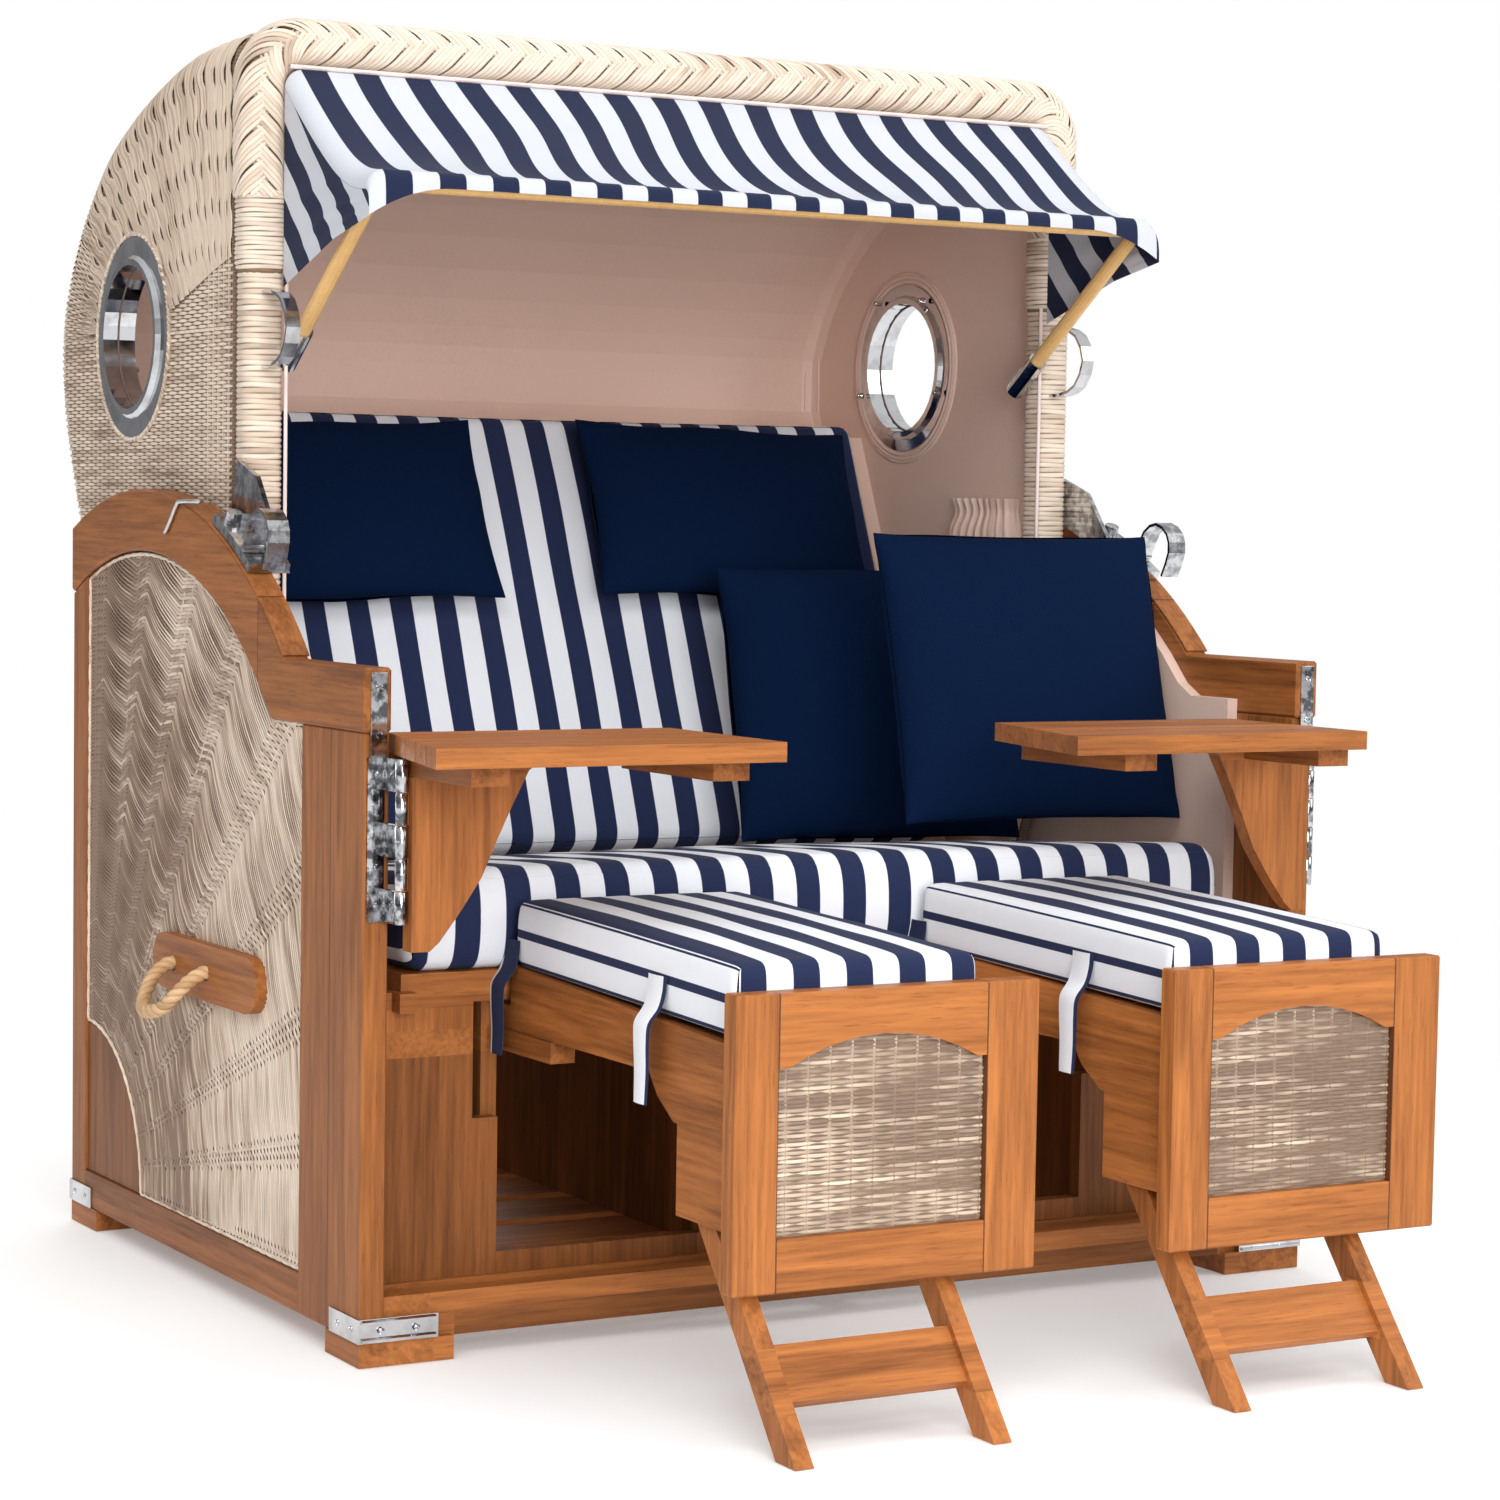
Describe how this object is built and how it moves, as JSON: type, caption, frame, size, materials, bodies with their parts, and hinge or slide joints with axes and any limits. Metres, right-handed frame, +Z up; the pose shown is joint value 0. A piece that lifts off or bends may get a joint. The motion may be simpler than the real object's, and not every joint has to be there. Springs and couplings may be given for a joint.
{
  "type": "hooded beach chair",
  "caption": "Wide hooded beach chair: wicker hood that reclines over a timber base, striped cushions, folding awning, swing-out tables and pull-out footrests.",
  "frame": {"origin": "On the floor, below the middle of the whole outline.", "axes": "+Z up, +Y to the chair's back, +X to the right as seen from the front."},
  "size_m": [1.4454, 1.7518, 1.53],
  "materials": {
    "teak": "oiled",
    "wicker": "woven",
    "chrome": "polished",
    "taupe_lining": "padded",
    "striped_cloth": "woven",
    "navy_cloth": "woven",
    "hemp_rope": "twisted",
    "pale_wood": "varnished"
  },
  "bodies": {
    "base": {"base_frame": "teak", "back_panel": "wicker", "seat_frame": "teak", "seat_cushion": "striped_cloth", "throw_cushion_front": "navy_cloth", "throw_cushion_rear": "navy_cloth", "side_frame_left": "teak", "arm_left": "teak", "wicker_panel_left": "wicker", "fan_corner_left": "teak", "handle_board_left": "teak", "rope_handle_left": "hemp_rope", "corner_bracket_front_left": "chrome", "corner_bracket_rear_left": "chrome", "lining_side_left": "taupe_lining", "arm_strip_left": "chrome", "table_hinge_left": "chrome", "side_frame_right": "teak", "arm_right": "teak", "wicker_panel_right": "wicker", "fan_corner_right": "teak", "handle_board_right": "teak", "rope_handle_right": "hemp_rope", "corner_bracket_front_right": "chrome", "corner_bracket_rear_right": "chrome", "lining_side_right": "taupe_lining", "arm_strip_right": "chrome", "table_hinge_right": "chrome"},
    "hood": {"hood_shell": "wicker", "hood_lining": "taupe_lining", "hood_rim": "wicker", "back_cushion": "striped_cloth", "side_pocket": "taupe_lining", "porthole_left": "chrome", "hood_handle_left": "chrome", "head_cushion_left": "navy_cloth", "latch_hook_left": "chrome", "porthole_right": "chrome", "hood_handle_right": "chrome", "head_cushion_right": "navy_cloth", "latch_hook_right": "chrome"},
    "bail_left": {"latch_bail_left": "chrome"},
    "bail_right": {"latch_bail_right": "chrome"},
    "awning": {"awning_cloth": "striped_cloth", "awning_frame": "pale_wood", "strut_socket_left": "chrome", "strut_socket_right": "chrome"},
    "table_left": {"table_top_left": "teak", "table_bracket_left": "teak"},
    "footrest_left": {"footrest_box_left": "teak", "footrest_wicker_left": "wicker", "footrest_cushion_left": "striped_cloth"},
    "legs_left": {"footrest_legs_left": "teak"},
    "table_right": {"table_top_right": "teak", "table_bracket_right": "teak"},
    "footrest_right": {"footrest_box_right": "teak", "footrest_wicker_right": "wicker", "footrest_cushion_right": "striped_cloth"},
    "legs_right": {"footrest_legs_right": "teak"}
  },
  "joints": [
    {"name": "hood_recline", "type": "hinge", "parent": "base", "child": "hood", "pos_m": [0, 0.4039, 0.3], "axis": [-1, 0, 0], "range_deg": [0, 45]},
    {"name": "latch_bail_left_swing", "type": "hinge", "parent": "hood", "child": "bail_left", "pos_m": [-0.635, 0.0646, 0.8998], "axis": [1, 0, 0], "range_deg": [-75, 15]},
    {"name": "latch_bail_right_swing", "type": "hinge", "parent": "hood", "child": "bail_right", "pos_m": [0.635, 0.0646, 0.8998], "axis": [1, 0, 0], "range_deg": [-75, 15]},
    {"name": "awning_fold", "type": "hinge", "parent": "hood", "child": "awning", "pos_m": [0, 0.2139, 1.128], "axis": [-1, 0, 0], "range_deg": [0, 50], "deforming": ["awning_cloth"]},
    {"name": "table_left_swing", "type": "hinge", "parent": "base", "child": "table_left", "pos_m": [-0.6205, -0.3251, 0.6], "axis": [0, 0, -1], "range_deg": [0, 105]},
    {"name": "table_right_swing", "type": "hinge", "parent": "base", "child": "table_right", "pos_m": [0.6205, -0.3251, 0.6], "axis": [0, 0, 1], "range_deg": [0, 105]},
    {"name": "footrest_left_slide", "type": "slide", "parent": "base", "child": "footrest_left", "axis": [0, -1, 0], "range_m": [0, 0.06]},
    {"name": "footrest_left_legs", "type": "hinge", "parent": "footrest_left", "child": "legs_left", "pos_m": [-0.3055, -0.6611, 0.245], "axis": [1, 0, 0], "range_deg": [0, 128]},
    {"name": "footrest_right_slide", "type": "slide", "parent": "base", "child": "footrest_right", "axis": [0, -1, 0], "range_m": [0, 0.06]},
    {"name": "footrest_right_legs", "type": "hinge", "parent": "footrest_right", "child": "legs_right", "pos_m": [0.2375, -0.6611, 0.245], "axis": [1, 0, 0], "range_deg": [0, 128]}
  ]
}
